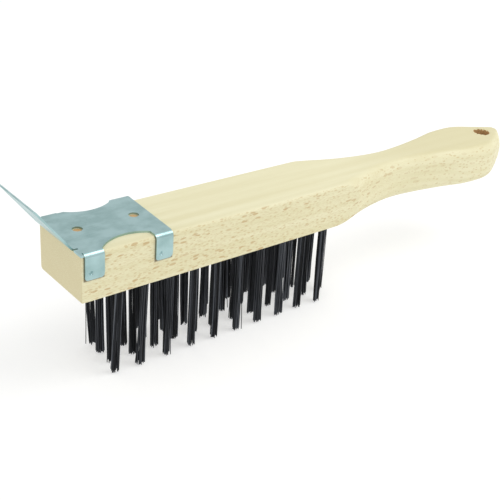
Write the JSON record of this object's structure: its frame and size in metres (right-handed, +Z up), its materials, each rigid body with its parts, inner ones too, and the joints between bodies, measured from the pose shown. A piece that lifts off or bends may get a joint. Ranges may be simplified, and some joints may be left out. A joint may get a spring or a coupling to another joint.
{
  "type": "wire brush with scraper",
  "caption": "Wire brush: beech block running into a waisted handle with a hang hole, rows of steel wire tufts underneath and a bent sheet-steel scraper clamped over the toe.",
  "frame": {"origin": "middle of the footprint on the plane of the wire tips, below the block and handle", "axes": "+X from the scraper's toe to the handle's heel, +Y across the board to the side where the scraper stands proud, +Z up from the wire tips to the flat top of the board"},
  "size_m": [0.3072, 0.0424, 0.0888],
  "materials": {
    "beech": "planed and sanded bare beech, pale cream with short brown ray flecks",
    "zinc_plated_sheet": "bright zinc-plated cold-rolled steel sheet with a faint blue cast",
    "brush_wire": "dark oiled high-carbon steel wire with grey streaks of light",
    "anchor_wire": "flat drawn steel anchor wire, sealed inside the wood"
  },
  "bodies": {
    "root": {"anchors_row1": "anchor_wire", "anchors_row2": "anchor_wire", "anchors_row3": "anchor_wire", "anchors_row4": "anchor_wire", "handle": "beech", "scraper": "zinc_plated_sheet", "tuft_row1_01": "brush_wire", "tuft_row1_02": "brush_wire", "tuft_row1_03": "brush_wire", "tuft_row1_04": "brush_wire", "tuft_row1_05": "brush_wire", "tuft_row1_06": "brush_wire", "tuft_row1_07": "brush_wire", "tuft_row1_08": "brush_wire", "tuft_row1_09": "brush_wire", "tuft_row1_10": "brush_wire", "tuft_row2_01": "brush_wire", "tuft_row2_02": "brush_wire", "tuft_row2_03": "brush_wire", "tuft_row2_04": "brush_wire", "tuft_row2_05": "brush_wire", "tuft_row2_06": "brush_wire", "tuft_row2_07": "brush_wire", "tuft_row2_08": "brush_wire", "tuft_row2_09": "brush_wire", "tuft_row2_10": "brush_wire", "tuft_row2_11": "brush_wire", "tuft_row2_12": "brush_wire", "tuft_row3_01": "brush_wire", "tuft_row3_02": "brush_wire", "tuft_row3_03": "brush_wire", "tuft_row3_04": "brush_wire", "tuft_row3_05": "brush_wire", "tuft_row3_06": "brush_wire", "tuft_row3_07": "brush_wire", "tuft_row3_08": "brush_wire", "tuft_row3_09": "brush_wire", "tuft_row3_10": "brush_wire", "tuft_row3_11": "brush_wire", "tuft_row3_12": "brush_wire", "tuft_row4_01": "brush_wire", "tuft_row4_02": "brush_wire", "tuft_row4_03": "brush_wire", "tuft_row4_04": "brush_wire", "tuft_row4_05": "brush_wire", "tuft_row4_06": "brush_wire", "tuft_row4_07": "brush_wire", "tuft_row4_08": "brush_wire", "tuft_row4_09": "brush_wire", "tuft_row4_10": "brush_wire"}
  },
  "joints": []
}
